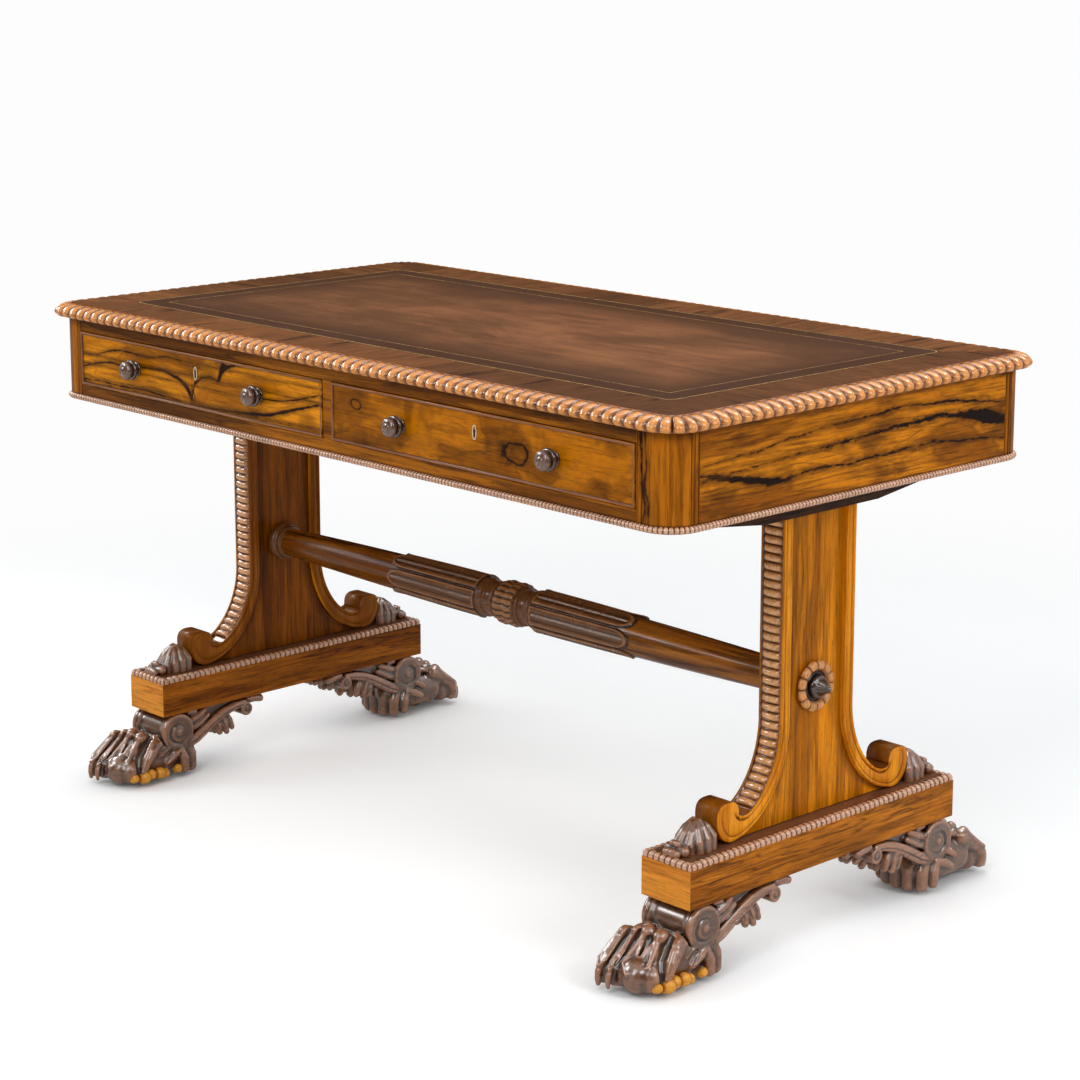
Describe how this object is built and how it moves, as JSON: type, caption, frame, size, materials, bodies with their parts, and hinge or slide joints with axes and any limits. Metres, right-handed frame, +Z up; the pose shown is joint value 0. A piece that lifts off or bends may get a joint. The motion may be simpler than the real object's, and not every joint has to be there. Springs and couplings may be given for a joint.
{
  "type": "library table",
  "caption": "Free-standing library table with a leather-lined gadrooned top, frieze drawers, scrolled end uprights, a turned stretcher and carved paw feet on castors.",
  "frame": {"origin": "on the floor, under the middle of the top", "axes": "+X to the right end of the table as seen from the drawer side, +Y to the back, +Z up"},
  "size_m": [1.308, 0.7283, 0.74],
  "materials": {
    "rosewood": "french-polished figured veneer with near-black streaks",
    "carved_rosewood": "carved and turned, dark brown, polished",
    "gadroon_rosewood": "carved gadroon moulding, pinkish brown, polished",
    "dark_underframe": "dark stained, dull",
    "drawer_lining": "plain planed boards, unpolished",
    "tooled_leather": "worn brown hide with fine gold tooled lines",
    "brass": "satin",
    "pale_inlay": "pale bone-like inlay, satin",
    "castor_iron": "dark, lightly worn"
  },
  "bodies": {
    "table": {"top_board": "rosewood", "frieze_top_rail": "rosewood", "frieze_bottom_rail": "rosewood", "frieze_muntin": "rosewood", "frieze_back_board": "rosewood", "stretcher": "rosewood", "writing_leather": "tooled_leather", "gadroon_front": "gadroon_rosewood", "gadroon_back": "gadroon_rosewood", "gadroon_left": "gadroon_rosewood", "gadroon_right": "gadroon_rosewood", "drawer_runner_centre": "drawer_lining", "end_panel_left": "rosewood", "upright_left": "rosewood", "platform_left": "rosewood", "drawer_runner_left": "drawer_lining", "patera_left": "carved_rosewood", "bearer_left": "dark_underframe", "corner_post_front_left": "rosewood", "foot_front_left": "carved_rosewood", "corner_post_back_left": "rosewood", "foot_back_left": "carved_rosewood", "end_panel_right": "rosewood", "upright_right": "rosewood", "platform_right": "rosewood", "drawer_runner_right": "drawer_lining", "patera_right": "carved_rosewood", "bearer_right": "dark_underframe", "corner_post_front_right": "rosewood", "foot_front_right": "carved_rosewood", "corner_post_back_right": "rosewood", "foot_back_right": "carved_rosewood"},
    "drawer_left": {"drawer_left_front": "rosewood", "drawer_left_back": "drawer_lining", "drawer_left_bottom": "drawer_lining", "drawer_left_side_left": "drawer_lining", "drawer_left_side_right": "drawer_lining", "drawer_left_knob_left": "carved_rosewood", "drawer_left_knob_right": "carved_rosewood", "drawer_left_escutcheon": "pale_inlay", "drawer_left_lock_case": "brass"},
    "lock_bolt_left": {"drawer_left_lock_bolt": "brass"},
    "castor_front_left": {"castor_fork_front_left": "castor_iron"},
    "wheel_front_left": {"castor_wheel_front_left": "castor_iron"},
    "castor_back_left": {"castor_fork_back_left": "castor_iron"},
    "wheel_back_left": {"castor_wheel_back_left": "castor_iron"},
    "drawer_right": {"drawer_right_front": "rosewood", "drawer_right_back": "drawer_lining", "drawer_right_bottom": "drawer_lining", "drawer_right_side_left": "drawer_lining", "drawer_right_side_right": "drawer_lining", "drawer_right_knob_left": "carved_rosewood", "drawer_right_knob_right": "carved_rosewood", "drawer_right_escutcheon": "pale_inlay", "drawer_right_lock_case": "brass"},
    "lock_bolt_right": {"drawer_right_lock_bolt": "brass"},
    "castor_front_right": {"castor_fork_front_right": "castor_iron"},
    "wheel_front_right": {"castor_wheel_front_right": "castor_iron"},
    "castor_back_right": {"castor_fork_back_right": "castor_iron"},
    "wheel_back_right": {"castor_wheel_back_right": "castor_iron"}
  },
  "joints": [
    {"name": "drawer_left_slide", "type": "slide", "parent": "table", "child": "drawer_left", "axis": [0, -1, 0], "range_m": [0, 0.36]},
    {"name": "lock_bolt_left_slide", "type": "slide", "parent": "drawer_left", "child": "lock_bolt_left", "axis": [0, 0, 1], "range_m": [0, 0.008]},
    {"name": "drawer_right_slide", "type": "slide", "parent": "table", "child": "drawer_right", "axis": [0, -1, 0], "range_m": [0, 0.36]},
    {"name": "lock_bolt_right_slide", "type": "slide", "parent": "drawer_right", "child": "lock_bolt_right", "axis": [0, 0, 1], "range_m": [0, 0.008]},
    {"name": "castor_front_left_swivel", "type": "hinge", "parent": "table", "child": "castor_front_left", "pos_m": [-0.5535, -0.268, 0.037], "axis": [0, 0, 1], "continuous": true},
    {"name": "wheel_front_left_roll", "type": "hinge", "parent": "castor_front_left", "child": "wheel_front_left", "pos_m": [-0.5535, -0.281, 0.015], "axis": [1, 0, 0], "continuous": true},
    {"name": "castor_back_left_swivel", "type": "hinge", "parent": "table", "child": "castor_back_left", "pos_m": [-0.5535, 0.268, 0.037], "axis": [0, 0, 1], "continuous": true},
    {"name": "wheel_back_left_roll", "type": "hinge", "parent": "castor_back_left", "child": "wheel_back_left", "pos_m": [-0.5535, 0.281, 0.015], "axis": [1, 0, 0], "continuous": true},
    {"name": "castor_front_right_swivel", "type": "hinge", "parent": "table", "child": "castor_front_right", "pos_m": [0.5535, -0.268, 0.037], "axis": [0, 0, 1], "continuous": true},
    {"name": "wheel_front_right_roll", "type": "hinge", "parent": "castor_front_right", "child": "wheel_front_right", "pos_m": [0.5535, -0.281, 0.015], "axis": [1, 0, 0], "continuous": true},
    {"name": "castor_back_right_swivel", "type": "hinge", "parent": "table", "child": "castor_back_right", "pos_m": [0.5535, 0.268, 0.037], "axis": [0, 0, 1], "continuous": true},
    {"name": "wheel_back_right_roll", "type": "hinge", "parent": "castor_back_right", "child": "wheel_back_right", "pos_m": [0.5535, 0.281, 0.015], "axis": [1, 0, 0], "continuous": true}
  ]
}
